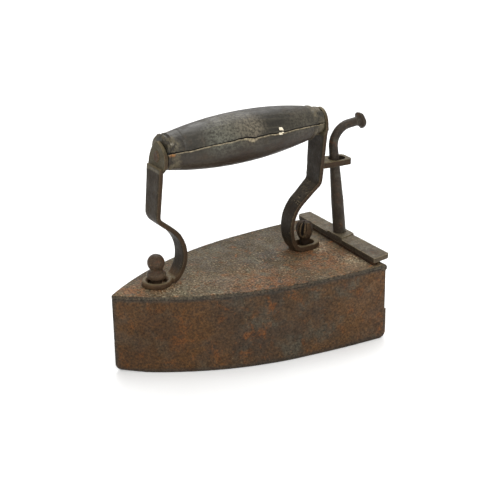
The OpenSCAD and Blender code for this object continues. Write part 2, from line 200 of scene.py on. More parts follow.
def worn(mesh, depth, size, seed, pit=0.0, pit_size=1.6):
    """Eats into a surface: broad hammered hollows, and pits in patches."""
    co = read(mesh, "co")
    cut = depth * (0.5 + 0.5 * layers(co, size * MM, seed))
    if pit:
        holes = np.clip(lumps(co, pit_size * MM, seed + 5) - 0.3, 0, 1) / 0.7
        patches = np.clip(0.6 + lumps(co, 9 * pit_size * MM, seed + 6), 0, 1)
        cut += pit * holes * patches
    sink(mesh, cut)
    return mesh


def piece(name, mesh, material, slot, *nodes, body="iron_body"):
    """A finished piece on a body of the iron, which stands for CAD nodes."""
    obj = linked(name, mesh)
    mesh.materials.clear()
    mesh.materials.append(material)
    mesh.polygons.foreach_set("use_smooth", [True] * len(mesh.polygons))
    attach(obj, body)
    if nodes:
        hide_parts(*nodes)


def full_turn(count):
    """Even angles round a circle."""
    return np.linspace(0, 2 * math.pi, count, endpoint=False)


def revolve(profile, count):
    """Turned solid from rows of radius and height, closed at both ends."""
    angle = full_turn(count)
    loops = np.array([
        np.stack([r * np.cos(angle), r * np.sin(angle), np.full(count, h)], -1)
        for r, h in profile
    ])
    return loft(loops)


def prism(outline, low, high):
    """Straight block over a plan outline."""
    rows = [[(x, y, z) for x, y in outline] for z in (low, high)]
    return loft(np.array(rows, float))


def block(x, y, low, high):
    """Straight box between two places on each axis."""
    return prism([(x[0], y[0]), (x[1], y[0]), (x[1], y[1]), (x[0], y[1])], low, high)


def ring(rows):
    """Ring through closed outlines of equal length, each with its height."""
    loops = [np.column_stack([outline, np.full(len(outline), z)]) for outline, z in rows]
    return loft(np.array(loops), capped=False)


def distances(points):
    """Distance along a line of points, from its first."""
    step = np.linalg.norm(np.diff(points, axis=0), axis=1)
    return np.concatenate([[0], np.cumsum(step)])


def resample(points, count):
    """Points at even steps round a closed outline."""
    points = np.vstack([points, points[:1]])
    along = distances(points)
    at = np.linspace(0, along[-1], count, endpoint=False)
    return np.stack([np.interp(at, along, points[:, k]) for k in (0, 1)], -1)


def smooth_curve(points):
    """Cuts the corners of a profile twice over, keeping its ends."""
    points = np.asarray(points, float)
    for _ in range(2):
        a, b = points[:-1], points[1:]
        cut = np.stack([0.75 * a + 0.25 * b, 0.25 * a + 0.75 * b], 1)
        points = np.vstack([points[:1], cut.reshape(-1, 2), points[-1:]])
    return points


# --- Materials ---

def tone(code):
    """Colour written as red, green and blue pairs of hex digits."""
    rgb = [int(code[k : k + 2], 16) / 255 for k in (0, 2, 4)]
    return [c / 12.92 if c < 0.04045 else ((c + 0.055) / 1.055) ** 2.4 for c in rgb] + [1.0]


class Paint:
    """A node material that is laid out in the row frame, from its first colour up."""

    def __init__(self, name, code):
        self.colour = tone(code)
        self.material = bpy.data.materials.new(name)
        self.material.use_nodes = True
        self.tree = self.material.node_tree
        self.shader = self.tree.nodes["Principled BSDF"]
        self.place = self.add("ShaderNodeTexCoord").outputs["Object"]

    def add(self, kind, fills=None, **settings):
        """A new node, with its settings made and its inputs filled."""
        node = self.tree.nodes.new(kind)
        for key, value in settings.items():
            setattr(node, key, value)
        for key, value in (fills or {}).items():
            self.put(value, node.inputs[key])
        return node

    def put(self, value, socket):
        if isinstance(value, bpy.types.NodeSocket):
            self.tree.links.new(value, socket)
        else:
            socket.default_value = value

    def noise(self, size, detail, rough, stretch=None, warp=0.0):
        """Noise from 0 to 1, with lumps of about size millimetres."""
        where = self.place
        if stretch:
            mapping = self.add("ShaderNodeMapping", {"Vector": where, "Scale": stretch})
            where = mapping.outputs["Vector"]
        return self.add("ShaderNodeTexNoise", {
            "Vector": where, "Scale": 1000 / size, "Detail": detail, "Roughness": rough,
            "Distortion": warp,
        }).outputs["Fac"]

    def band(self, value, low, high, out_low=0.0, out_high=1.0):
        """out_low below low, out_high above high, smooth between."""
        return self.add("ShaderNodeMapRange", {
            "Value": value, "From Min": low, "From Max": high, "To Min": out_low, "To Max": out_high,
        }, interpolation_type="SMOOTHSTEP").outputs["Result"]

    def calc(self, operation, a, b=0.0):
        return self.add("ShaderNodeMath", {0: a, 1: b}, operation=operation).outputs["Value"]

    def times(self, a, b):
        return self.calc("MULTIPLY", a, b)

    def over(self, share, code):
        """Lays a colour over what is there, as much of it as share says."""
        fills = {0: share, 6: self.colour, 7: tone(code)}
        self.colour = self.add("ShaderNodeMix", fills, data_type="RGBA").outputs[2]

    def near(self, point, inner, outer):
        """1 within inner millimetres of a point, 0 beyond outer."""
        fills = {0: self.place, 1: tuple(point)}
        away = self.add("ShaderNodeVectorMath", fills, operation="DISTANCE").outputs["Value"]
        return self.band(away, inner * MM, outer * MM, 1.0, 0.0)

    def part(self, axis):
        """One coordinate of the place."""
        return self.add("ShaderNodeSeparateXYZ", {0: self.place}).outputs[axis]

    def stored(self, name):
        """A value kept on the mesh's points."""
        return self.add("ShaderNodeAttribute", attribute_name=name).outputs["Fac"]

    def edges(self):
        """1 on outer edges, from the shape of the mesh."""
        geometry = self.add("ShaderNodeNewGeometry")
        return self.band(geometry.outputs["Pointiness"], 0.51, 0.54)

    def facing(self, axis):
        """1 on faces that look along an axis, either way."""
        normal = self.add("ShaderNodeNewGeometry").outputs["True Normal"]
        along = self.add("ShaderNodeSeparateXYZ", {0: normal}).outputs[axis]
        return self.band(self.calc("ABSOLUTE", along), 0.72, 0.93)

    def bump(self, height, depth, strength=1.0, below=None):
        fills = {"Height": height, "Distance": depth * MM, "Strength": strength}
        if below is not None:
            fills["Normal"] = below
        return self.add("ShaderNodeBump", fills).outputs["Normal"]

    def shade(self, factor):
        """Makes the colour lighter and darker."""
        fills = {0: self.colour, "Scale": factor}
        node = self.add("ShaderNodeVectorMath", fills, operation="SCALE")
        self.colour = node.outputs["Vector"]

    def finish(self, roughness, normal, gloss=0.5):
        self.put(self.colour, self.shader.inputs["Base Color"])
        self.put(roughness, self.shader.inputs["Roughness"])
        self.put(normal, self.shader.inputs["Normal"])
        self.shader.inputs["Specular IOR Level"].default_value = gloss
        return self.material


def iron(
    name, tones, rust, grey, grain, patch=0.8, flecks=0.3, rough=(0.6, 0.85),
    pitted=0.25, edge=None, edge_share=0.5, rusty_places=(), pale_places=(), bands=(),
    faces=(), marks=(), crack_shade=None, cloud=8, blot=6, gloss=0.25,
):
    """Old iron: patches of rust and bare grey, fine speckle, pits, and edges in a colour of their
    own: partly worn metal and partly painted highlight where the colour is pale, painted shade where
    it is dark.

    tones are the ground, dark, grey, rust and pale colours. Places are a point,
    an inner and an outer radius and a share. Bands are an axis, the values where
    the band starts and is full, a colour and a share. Faces that look along an
    axis take a tone of their own, painted light where it is paler and painted
    shade where it is darker. Marks are a point, a radius, a colour and a share.
    creases names a value kept on the mesh that is 1 in cracks, which are painted
    near black as painted shade. cloud and blot are the sizes of the grey clouds
    and the rust blots.
    """
    ground, dark, bare, orange, pale = tones.split()
    paint = Paint(name, ground)
    broad = paint.noise(30, 4, 0.6, warp=0.4)
    middle = paint.noise(8, 5, 0.66, warp=0.3)
    clouds = paint.noise(cloud, 5, 0.62, warp=0.3)
    small = paint.noise(3, 4, 0.66)
    fine = paint.noise(1.5, 3, 0.72)
    paint.over(paint.band(broad, 0.35, 0.68), dark)
    paint.over(paint.band(clouds, 0.62 - 0.22 * grey, 0.8 - 0.2 * grey, 0, patch), bare)
    blots = paint.noise(blot, 6, 0.7, warp=0.5)
    rusting = paint.band(blots, 0.66 - 0.24 * rust, 0.8 - 0.2 * rust, 0, patch)
    for point, inner, outer, share in rusty_places:
        broken = paint.band(paint.calc("ADD", small, blots), 0.86, 1.12, 0, share)
        here = paint.times(paint.near(point, inner, outer), broken)
        rusting = paint.calc("MAXIMUM", rusting, here)
    paint.over(rusting, orange)
    paint.over(paint.band(paint.noise(2.2, 3, 0.7), 0.54, 0.68, 0, flecks), dark)
    paint.over(paint.band(paint.noise(1.8, 3, 0.7), 0.56, 0.68, 0, 0.7 * flecks), orange)
    speck = paint.band(fine, 0.58, 0.7, 0, flecks)
    for point, inner, outer, share in pale_places:
        here = paint.times(paint.near(point, inner, outer), paint.band(fine, 0.46, 0.6, 0, share))
        speck = paint.calc("MAXIMUM", speck, here)
    paint.over(speck, pale)
    for axis, start, full, code, share in bands:
        ends = (0, share) if start < full else (share, 0)
        paint.over(paint.band(paint.part(axis), *sorted((start, full)), *ends), code)
    for point, radius, code, share in marks:
        here = paint.times(paint.near(point, 0.4 * radius, radius), share)
        paint.over(paint.times(here, paint.band(fine, 0.3, 0.6, 0.5, 1)), code)
    # Painted light and shade: faces that look along an axis get a lighter or darker tone for how
    # they meet the light.
    for axis, code in faces:
        paint.over(paint.times(paint.facing(axis), paint.band(small, 0.3, 0.6, 0.35, 0.8)), code)
    # Edge colour: partly worn metal, partly painted highlight where the edge colour is pale, painted
    # shade where it is dark.
    if edge:
        edge_wear_and_painted_light = paint.times(paint.edges(), paint.band(small, 0.3, 0.6, 0.4, 1.0))
        paint.over(paint.times(edge_wear_and_painted_light, edge_share), edge)
    # Painted shade: the cracks are painted near black.
    if crack_shade:
        paint.over(paint.stored(crack_shade), "0f0c09")
    speckle = paint.noise(1.3, 3, 0.75)
    paint.shade(paint.band(speckle, 0.32, 0.68, 1 - 0.5 * grain, 1 + 0.5 * grain))
    pits = paint.times(paint.band(paint.noise(2.1, 3, 0.6), 0.55, 0.7), pitted)
    normal = paint.bump(paint.calc("SUBTRACT", middle, pits), 0.4, 0.8)
    grit = paint.calc("ADD", fine, paint.times(small, 0.8))
    normal = paint.bump(grit, 0.14 + 0.1 * grain, 0.9, normal)
    return paint.finish(paint.band(middle, 0.3, 0.7, rough[1], rough[0]), normal, gloss)


# Paler places on the grip, partly rubbed patches and partly painted highlight on its upper middle:
# place along the iron, angle up in degrees, reach and colour
GRIP_RUBBED_AND_SHEEN_SPOTS = [
    (95, 30, 18, "64655a"), (76, 36, 15, "746b5b"), (88, 58, 21, "5a5548"), (38, 30, 19, "4c473b"),
]


def grip_wood():
    """Dark worn wood: grain, tired ends, and the crack from values on the mesh."""
    paint = Paint("charred_grip_wood", "363229")
    grain = paint.noise(2.2, 4, 0.62, stretch=(0.07, 1, 1), warp=0.3)
    wide = paint.noise(20, 4, 0.6, stretch=(0.6, 1, 1))
    blotch = paint.noise(7, 4, 0.65)
    fine = paint.noise(1.4, 3, 0.7)
    height = paint.part("Z")
    paint.over(paint.band(wide, 0.35, 0.65), "27241d")
    paint.over(paint.band(grain, 0.48, 0.7, 0, 0.6), "464236")
    paint.over(paint.band(blotch, 0.5, 0.72, 0, 0.7), "3b2f22")
    # Painted shade: darker along the top of the grip, away from the light.
    paint.over(paint.band(height, (GRIP_Z + 8) * MM, (GRIP_Z + 15) * MM, 0.0, 0.75), "28241c")
    # Partly painted highlight: paler spots on the upper middle of the grip.
    for x, degrees, reach, code in GRIP_RUBBED_AND_SHEEN_SPOTS:
        spot = paint.near(handle(on_grip(x, degrees)), 0, reach)
        paint.over(paint.times(spot, paint.band(fine, 0.36, 0.62, 0.15, 0.75)), code)
    low = paint.band(height, (GRIP_Z - 10) * MM, (GRIP_Z + 5) * MM, 0.8, 0.0)
    paint.over(paint.times(low, paint.band(wide, 0.3, 0.6, 0.6, 1)), "2c2018")
    ends = paint.calc("ABSOLUTE", paint.calc("SUBTRACT", paint.part("X"), centre("grip").x))
    tired = paint.times(paint.band(ends, 0.045, 0.049), paint.band(blotch, 0.46, 0.62))
    paint.over(paint.times(tired, 0.7), "5f5744")
    lumpy = paint.near(handle(on_grip(125, 48)), 3, 10)
    broken = paint.band(paint.noise(3.2, 3, 0.6), 0.46, 0.6, 0, 0.8)
    paint.over(paint.times(lumpy, broken), "1f1a14")
    scar = paint.near(handle(on_grip(126.5, 40)), 0.2, 1.5)
    paint.over(paint.times(scar, paint.band(fine, 0.4, 0.6, 0.3, 0.8)), "b3ab98")
    chipped = paint.noise(2.4, 3, 0.6)
    lip = paint.times(paint.stored("lip"), paint.band(chipped, 0.36, 0.6, 0.35, 1))
    paint.over(paint.times(lip, 0.95), "a6987c")
    bare = paint.times(paint.stored("bare"), paint.band(chipped, 0.35, 0.55))
    paint.over(paint.times(bare, 0.8), "a06b35")
    # Painted shade: the inside of the crack is painted near black.
    paint.over(paint.stored("split"), "0b0a09")
    paint.shade(paint.band(fine, 0.3, 0.7, 0.75, 1.25))
    normal = paint.bump(grain, 0.25, 0.7)
    normal = paint.bump(paint.calc("ADD", fine, blotch), 0.12, 0.7, normal)
    return paint.finish(paint.band(blotch, 0.3, 0.7, 0.36, 0.58), normal, 0.3)


def filler():
    paint = Paint("pale_filler", "efe6d2")
    fine = paint.noise(0.7, 3, 0.6)
    paint.over(paint.band(fine, 0.35, 0.65), "d8c9ab")
    return paint.finish(paint.band(fine, 0.3, 0.7, 0.6, 0.85), paint.bump(fine, 0.1))


# --- Places on the iron ---

# The handle is turned and leans back, as in the CAD source
YAW = math.radians(2.8)
LEAN = math.radians(4.8)
FRONT_FOOT, REAR_FOOT = centre("front_stud"), centre("rear_stud")
FRONT_FOOT.z = REAR_FOOT.z = TOP * MM
# Height of the grip's axis, X of its fattest place, its radius there, and the
# radius of its long curve
GRIP_Z = 133.7
GRIP_MIDDLE, GRIP_RADIUS, GRIP_CURVE = 77.4, 15.5, 245.0
# X of the leaf plates' rear faces at the axis
REAR_LEAF, FRONT_LEAF, LEAF_THICK = 16.7, 130.5, 2.4


def on_top(x, y):
    return Vector((REAR + x * MM, y * MM, TOP * MM))


def handle(points):
    """The handle's own frame, before its turn about the rear foot, to the row frame."""
    points = np.asarray(points, float)
    foot_x, foot_y = (REAR_FOOT.x - REAR) / MM, REAR_FOOT.y / MM
    x, y, z = points[..., 0] - foot_x, points[..., 1], points[..., 2]
    c, s = math.cos(YAW), math.sin(YAW)
    return place(np.stack([foot_x + c * x - s * y, foot_y + s * x + c * y, z], -1))


def on_grip(x, degrees, lift=0.0):
    """A place on the turned surface of the grip, raised by lift."""
    t = math.radians(degrees)
    r = GRIP_RADIUS - (x - GRIP_MIDDLE) ** 2 / (2 * GRIP_CURVE) + lift
    return np.array([x, r * math.cos(t), GRIP_Z + r * math.sin(t)])


# --- Materials of the pieces ---

# The pale painted highlight on the ledge across the front strap, below its leaf, where the
# shoulder's top catches the light
LEDGE_HIGHLIGHTS = [
    (handle((134.3, y, 124.4)), 1.9, "8f8773", 0.4) for y in np.linspace(-7, 6.5, 11)
]

WALL = iron(
    "rusted_side_iron", "4c351d 35291d 413e33 683c16 746146",
    # The dark edge colour here is painted shade along the wall's worn edges.
    rust=0.55, grey=0.64, patch=0.72, grain=1.1, flecks=0.22, edge="322e28",
    cloud=17, blot=9,
    bands=(
        ("X", REAR + 90 * MM, REAR + 150 * MM, "432808", 0.5),
        ("X", REAR + 30 * MM, REAR, "5c4028", 0.3),
        # Painted shade: darker towards the bottom, where the rounded foot turns down from the light.
        ("Z", 4 * MM, 1 * MM, "2d2a24", 0.7),
        ("Z", (WALL_TOP - 2.4) * MM, (WALL_TOP - 0.3) * MM, "33302a", 0.65),
        # Painted shade: darker at the toe's end.
        ("X", REAR + (LENGTH - 2.4) * MM, REAR + (LENGTH - 0.4) * MM, "2d2a24", 0.6),
    ),
)
TOP_IRON = iron(
    "worn_top_iron", "5a4c36 393124 5c5644 7b4b26 a8997b",
    rust=0.5, grey=0.6, patch=0.85, grain=1.4, flecks=0.6, cloud=12, blot=7,
    rusty_places=(
        (REAR_FOOT, 6, 20, 0.8),
        (FRONT_FOOT, 6, 19, 0.7),
        (on_top(80, 36), 5, 42, 0.7),
        (on_top(30, 22), 4, 34, 0.75),
        (on_top(150, 3), 2, 16, 0.75),
    ),
    pale_places=(
        (FRONT_FOOT + Vector((-0.004, 0.01, 0)), 4, 21, 0.65),
        (on_top(13, 28), 3, 18, 0.6),
        (on_top(112, 22), 6, 34, 0.28),
        (on_top(19, -3), 1, 7, 0.95),
        (REAR_FOOT + Vector((-0.006, 0.006, 0)), 1, 9, 0.9),
    ),
    bands=(
        ("Y", 12 * MM, -34 * MM, "3b3528", 0.45),
        ("Z", (TOP - 0.1) * MM, (TOP - 0.55) * MM, "38332a", 0.85),
    ),
)
FORGED = iron(
    "forged_iron", "2f271c 231c14 353025 462f1c 584c37",
    rust=0.2, grey=0.55, patch=0.7, grain=0.35, flecks=0.25, rough=(0.45, 0.65),
    pitted=0.12, edge="665a43", edge_share=0.65, gloss=0.14,
    # Painted light: side faces along Y take a browner tone for the light they catch; upward faces
    # take a paler tone, partly dust and wear and partly painted light from above.
    faces=(("Y", "3e2e20"), ("Z", "655941")),
    bands=(
        ("Z", (TOP + 10) * MM, (TOP + 4) * MM, "5a4530", 0.65),
        # Painted shadow: darker towards the rear upright, which stands in the grip's shade.
        ("X", REAR + 75 * MM, REAR + 50 * MM, "1b1611", 0.4),
        # Painted highlight: paler at the height of the ledge below the leaves.
        ("Z", 124.5 * MM, 127 * MM, "57503c", 0.5),
    ),
    rusty_places=((FRONT_FOOT, 6, 15, 0.55), (REAR_FOOT, 4, 12, 0.5)),
    # Painted highlight on the ledge of the front strap.
    marks=LEDGE_HIGHLIGHTS,
)
FOOT_IRON = iron(
    "forged_foot_iron", "423325 2c2218 454034 643a1e 7d6c52",
    rust=0.45, grey=0.4, patch=0.75, grain=0.55, flecks=0.35, rough=(0.48, 0.7),
    pitted=0.2, edge="70604a", edge_share=0.6, gloss=0.22,
)
BAR_IRON = iron(
    "gate_bar_iron", "574d3c 3f362a 5e5844 674225 8e8165",
    rust=0.32, grey=0.5, patch=0.7, grain=0.6, flecks=0.35, rough=(0.5, 0.75),
    pitted=0.15, edge="80745c", edge_share=0.8, gloss=0.22,
    # Painted shade: front faces along X are painted dark brown, turned from the light; side faces
    # along Y a little darker.
    faces=(("X", "2b2118"), ("Y", "463b2d")),
)
ROD_IRON = iron(
    "lift_rod_iron", "362e24 261f19 3f3b31 583822 625745",
    rust=0.42, grey=0.4, patch=0.8, grain=0.4, flecks=0.3, rough=(0.45, 0.65),
    pitted=0.12, edge="53493a", edge_share=0.3, gloss=0.22,
)
REAR_STUD = iron(
    "rear_stud_iron", "3f2f20 251b12 4a4030 5c3a20 7a674b",
    rust=0.35, grey=0.4, patch=0.75, grain=0.6, flecks=0.3, rough=(0.55, 0.8),
    # Painted shade: the cracks down the head are painted near black.
    pitted=0.3, edge="6e5c42", edge_share=0.5, gloss=0.12, crack_shade="crack",
    # Painted shade: the lower part of the head, down in the eye, is painted near black.
    bands=(("Z", (TOP + 10) * MM, (TOP + 5) * MM, "17110c", 0.75),),
)
GATE_IRON = iron(
    "gate_plate_iron", "463424 2f241b 474237 6b4124 7d6b52",
    rust=0.55, grey=0.5, patch=0.7, grain=0.5,
)
SOLE_IRON = iron(
    "sole_iron", "4e453b 372f29 635f57 6f4a2e 978c7a",
    rust=0.35, grey=0.9, grain=0.45, rough=(0.38, 0.6), pitted=0.15, gloss=0.4,
    bands=(("Z", 0.5 * MM, 1.8 * MM, "443022", 0.85),),
)
SLUG_IRON = iron(
    "fire_scaled_iron", "40372f 2a241f 54514a 6b432a 857a6a",
    rust=0.3, grey=0.6, grain=0.45, rough=(0.6, 0.9), pitted=0.5,
)
GRIP_WOOD = grip_wood()
FILLER = filler()


# --- Body ---

# The plan is two arcs a side: the flank from the rear end to X = FLANK, and the
# nose from there to the toe. The toe is drawn WEAR_BACK longer than it ends up,
# because wearing the surface takes that off again.
FLANK, FLANK_RADIUS = 61.5, 585.0
WEAR_BACK = 0.4
JOINT = math.asin(FLANK / FLANK_RADIUS)
JOINT_HALF = HALF_WIDTH - FLANK_RADIUS * (1 - math.cos(JOINT))
TIP = LENGTH + WEAR_BACK - FLANK
NOSE = 2 * math.atan2(JOINT_HALF, TIP) - JOINT
NOSE_RADIUS = TIP / (math.sin(NOSE) - math.sin(JOINT))
NOSE_X = FLANK - NOSE_RADIUS * math.sin(JOINT)
NOSE_Y = JOINT_HALF - NOSE_RADIUS * math.cos(JOINT)
TOE_ROUND = 0.6
PLAN_POINTS = 190
GATE_OPENING = 7.95


def arc(x, y, radius, turns):
    """Points on a circle, at angles counted from +Y towards +X."""
    return [(x + radius * math.sin(t), y + radius * math.cos(t)) for t in turns]


def flank(inset, start, count):
    """Left edge of the plan from X = start to the rounded toe, drawn in by inset."""
    toe = max(TOE_ROUND - inset, 0.05)
    radius, nose = FLANK_RADIUS - inset, NOSE_RADIUS - inset
    first = math.asin(start / radius)
    end = math.acos(-NOSE_Y / (nose - toe))
    toe_x = NOSE_X + (nose - toe) * math.sin(end)
    rows = arc(0, HALF_WIDTH - FLANK_RADIUS, radius, np.linspace(first, JOINT, 60, endpoint=False))
    rows += arc(NOSE_X, NOSE_Y, nose, np.linspace(JOINT, end, 120))
    rows += arc(toe_x, 0, toe, np.linspace(end, math.pi / 2, 8)[1:])
    rows = np.array(rows)
    along = distances(rows)
    share = np.linspace(0, 1, count)
    closer_at_toe = 0.035 * np.sin(math.pi * share)
    share = share + closer_at_toe
    return np.stack([np.interp(share * along[-1], along, rows[:, k]) for k in (0, 1)], -1)


def plate(edge, start, count, columns):
    """Slab over the plan, from a square rear end at X = start.

    edge lists inset and height, from the top face down to the bottom face.
    """
    rings = [(flank(inset, start, count), height) for inset, height in edge]
    across = np.linspace(1, -1, columns)
    loops = []
    for i in range(count):
        (top, top_z), (bottom, bottom_z) = rings[0], rings[-1]
        loop = [(top[i][0], v * top[i][1], top_z) for v in across]
        loop += [(rim[i][0], -rim[i][1], z) for rim, z in rings[1:-1]]
        loop += [(bottom[i][0], -v * bottom[i][1], bottom_z) for v in across]
        loop += [(rim[i][0], rim[i][1], z) for rim, z in rings[-2:0:-1]]
        loops.append(loop)
    return loft(place(tuck(np.array(loops))))


def tuck(loops):
    """Rounds off the lower corners at the rear end and at the toe."""
    fade = 15
    x, z = loops[..., 0], loops[..., 2]
    for end, radius, way in ((0.0, 4.8, 1), (LENGTH, 5.2, -1)):
        below = np.clip(radius - z, 0, radius)
        drawn = radius - np.sqrt(radius**2 - below**2)
        x = x + way * drawn * np.clip(1 - way * (x - end) / fade, 0, 1)
    return np.stack([x, loops[..., 1], z], -1)


def side_wall():
    """Wrapped wall, one closed section carried round the plan."""
    foot = 0.8
    turn = np.radians(np.linspace(90, 0, 7))
    section = [(WALL_THICK, 0)]
    section += [(foot - foot * math.cos(a), foot - foot * math.sin(a)) for a in turn]
    section += [(0, z) for z in np.linspace(foot + 0.7, WALL_TOP - 0.7, 56)]
    section += [(0.02, WALL_TOP - 0.12), (0.1, WALL_TOP), (WALL_THICK, WALL_TOP)]
    section += [(WALL_THICK, z) for z in np.linspace(WALL_TOP - 3, 3, 14)]
    loops = []
    for inset, height in section:
        left = flank(inset, 0.0, PLAN_POINTS)
        right = left[:-1][::-1] * [1, -1]
        outline = np.vstack([left, right])
        loops.append(np.column_stack([outline, np.full(len(outline), height)]))
    loops = place(tuck(np.array(loops))).transpose(1, 0, 2)
    mesh = mesh_of("side_wall_skin", loft(loops))
    worn(mesh, 0.22, 15, 11, pit=0.18, pit_size=1.7)
    piece("side_wall_skin", mesh, WALL, "rusty_iron", "side_wall")


def sole():
    inset = WALL_THICK + 0.1
    edge = [(inset, SOLE_TOP), (inset, 0.45), (inset + 0.4, 0.12), (inset + 1.4, 0.0)]
    mesh = mesh_of("sole_plate_slab", plate(edge, 0.0, 110, 46))
    worn(mesh, 0.05, 20, 21, pit=0.08, pit_size=2.5)
    piece("sole_plate_slab", mesh, SOLE_IRON, "rusty_iron", "sole_plate")


def top_plate():
    """Top plate from the gate's opening to the toe, and its two rear corners."""
    edge = (
        [(0.5, TOP), (0.25, TOP - 0.07), (0.07, TOP - 0.25)]
        + [(0, z) for z in (TOP - 0.5, TOP - 1.1, TOP - 1.6, WALL_TOP + 0.6)]
        + [(0.01, WALL_TOP + 0.1), (0.08, WALL_TOP + 0.02)]
    )
    mesh = mesh_of("top_plate_skin", plate(edge, GATE_OPENING, PLAN_POINTS, 104))
    worn(mesh, 0.16, 13, 31, pit=0.28, pit_size=1.5)
    piece("top_plate_skin", mesh, TOP_IRON, "worn_iron", "top_plate")
    for side, name in SIDES:
        top_corner(side, f"top_plate_{name}_corner")


def top_corner(side, name):
    """Ear of the top plate beside the gate, with its rolled edge."""
    lip_y, ear_y, edge_y = [side * v for v in (38.2, 43.3, HALF_WIDTH - 0.06)]
    low, high = WALL_TOP + 0.05, TOP - 0.05
    ear = block((0.1, 9), (ear_y, edge_y), low, high)
    lip = block((0.1, 4.1), (lip_y, edge_y), low, high)
    roll, faces = revolve([(2.0, -0.1), (2.35, 0.3), (2.35, 2.7), (2.0, 3.1)], 32)
    roll = np.stack([roll[:, 0] + 0.9, ear_y + side * roll[:, 2], roll[:, 1] + TOP - 2.4], -1)
    corner = moved(join(ear, lip, (roll, faces)), place)
    mesh = worn(fused(name, corner, 0.28, 5), 0.2, 4, 35 + side)
    piece(name, mesh, TOP_IRON, "worn_iron", "top_plate")


def cleats():
    """Angle pieces behind the wall ends, and their riveted heads."""
    rivet_y, rivet_z, rivet_back = 40.5, 4.6, -1.1
    heads = []
    for side, name in SIDES:
        low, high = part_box(f"{name}_gate_cleat")
        x, y, z = [[low[k] / MM, high[k] / MM] for k in range(3)]
        x = [v - REAR / MM for v in x]
        inner, outer = y[::side]
        flange = prism([(x[0], inner), (0, inner), (0.1, outer), (x[0] + 0.1, outer)], z[0], z[1])
        lip_y = (inner + side * (WALL_THICK + 0.1), outer - side * (WALL_THICK - 0.1))
        lip = block((-0.3, x[1]), lip_y, SOLE_TOP + 0.05, z[1])
        mesh = fused(f"{name}_cleat_forged", moved(join(flange, lip), place), 0.2, 1)
        co = tuck((read(mesh, "co") - [REAR, 0, 0]) / MM)
        mesh.vertices.foreach_set("co", place(co).ravel())
        worn(mesh, 0.05, 5, 41 + side)
        piece(f"{name}_cleat_forged", mesh, WALL, "rusty_iron", f"{name}_gate_cleat")
        head, faces = revolve([(2.7, 0), (2.75, 0.25), (2.4, 0.65), (1.6, 0.95), (0.6, 1.0)], 28)
        head = [rivet_back - head[:, 2], side * rivet_y + head[:, 0], rivet_z + head[:, 1]]
        heads.append((place(np.stack(head, -1)), faces))
    mesh = worn(mesh_of("cleat_rivet_heads", join(*heads)), 0.12, 1.5, 47)
    piece("cleat_rivet_heads", mesh, WALL, "rusty_iron", "cleat_rivets")


side_wall()
sole()
top_plate()
cleats()

# --- Gate ---

BAR_LOW, BAR_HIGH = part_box("gate_bar")
PLATE_LOW, PLATE_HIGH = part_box("gate_plate")


def gate_bar():
    """Bar with its far end cut askew, and the boss that holds the rod."""
    low, high = BAR_LOW.z / MM, BAR_HIGH.z / MM
    half = BAR_HIGH.y / MM + 0.1
    bar_top = high - 1.15
    outline = [
        (8.7, -half + 2.6), (8.0, -half + 0.7), (6.2, -half), (-1.6, -half),
        (-3.2, 0), (-5.2, 41.6), (-3.8, 42.8), (6.9, half + 0.1), (7.8, half - 0.6), (8.3, 10),
    ]
    boss = [(8.4, -8.2), (8.1, 8.6), (-3.5, 5.4), (-3.0, -8)]
    part = join(prism(outline, low + 0.05, bar_top), prism(boss, bar_top - 1, high))
    mesh = fused("gate_bar_forged", moved(part, place), 0.3, 2)
    worn(mesh, 0.2, 8, 51, pit=0.12, pit_size=1.3)
    piece("gate_bar_forged", mesh, BAR_IRON, "worn_iron", "gate_bar", body="gate")


def gate_plate():
    x = [(v - REAR) / MM for v in (PLATE_LOW.x, PLATE_HIGH.x)]
    half = PLATE_HIGH.y / MM
    low, high = PLATE_LOW.z / MM, BAR_LOW.z / MM + 0.6
    part = block(x, (-half, half), low, high)
    mesh = fused("gate_plate_sheet", moved(part, place), 0.5, 2)
    worn(mesh, 0.3, 12, 61, pit=0.25, pit_size=2.0)
    piece("gate_plate_sheet", mesh, GATE_IRON, "rusty_iron", "gate_plate", body="gate")


ROD_FOOT = Vector((2.8, -2.0, BAR_HIGH.z / MM))
ROD_LEAN = math.radians(5.5)
ROD_RISE = math.radians(5.5)
ROD_LENGTH, ROD_BEND, ROD_TAIL = 58.4, 12.4, 5.0


def rod_path():
    """Rows of X, Z and heading along the rod, from its foot to its knob."""
    rows = []
    for s in np.linspace(-0.6, ROD_LENGTH, 90):
        rows.append((s * math.sin(ROD_LEAN), s * math.cos(ROD_LEAN), ROD_LEAN))
    x, z = rows[-1][:2]
    cx, cz = x - ROD_BEND * math.cos(ROD_LEAN), z + ROD_BEND * math.sin(ROD_LEAN)
    for a in np.linspace(0, math.pi / 2 + ROD_LEAN - ROD_RISE, 36)[1:]:
        t = a - ROD_LEAN
        rows.append((cx + ROD_BEND * math.cos(t), cz + ROD_BEND * math.sin(t), -t))
    x, z = rows[-1][:2]
    back, up = -math.cos(ROD_RISE), math.sin(ROD_RISE)
    for s in np.linspace(0, ROD_TAIL, 10)[1:]:
        rows.append((x + s * back, z + s * up, ROD_RISE - math.pi / 2))
    return np.array(rows)


def gate_rod():
    """Tapered round rod, carried along its path."""
    rows = rod_path()
    along = distances(rows[:, :2])
    radius = np.interp(along, [0, 2, 22, ROD_LENGTH, 95], [4.3, 4.2, 4.08, 3.0, 2.98])
    angle = full_turn(48)
    loops = []
    for (x, z, heading), r in zip(rows, radius):
        out = np.array([math.cos(heading), 0, -math.sin(heading)])
        across = np.sin(angle)[:, None] * np.array([0, 1, 0])
        turn = r * (np.cos(angle)[:, None] * out + across)
        loops.append(turn + np.array([x, 0, z]) + np.array(ROD_FOOT))
    mesh = mesh_of("gate_rod_forged", loft(place(np.array(loops))))
    worn(mesh, 0.2, 6, 71, pit=0.08, pit_size=1.2)
    piece("gate_rod_forged", mesh, ROD_IRON, "forged_iron", "gate_rod", body="gate")


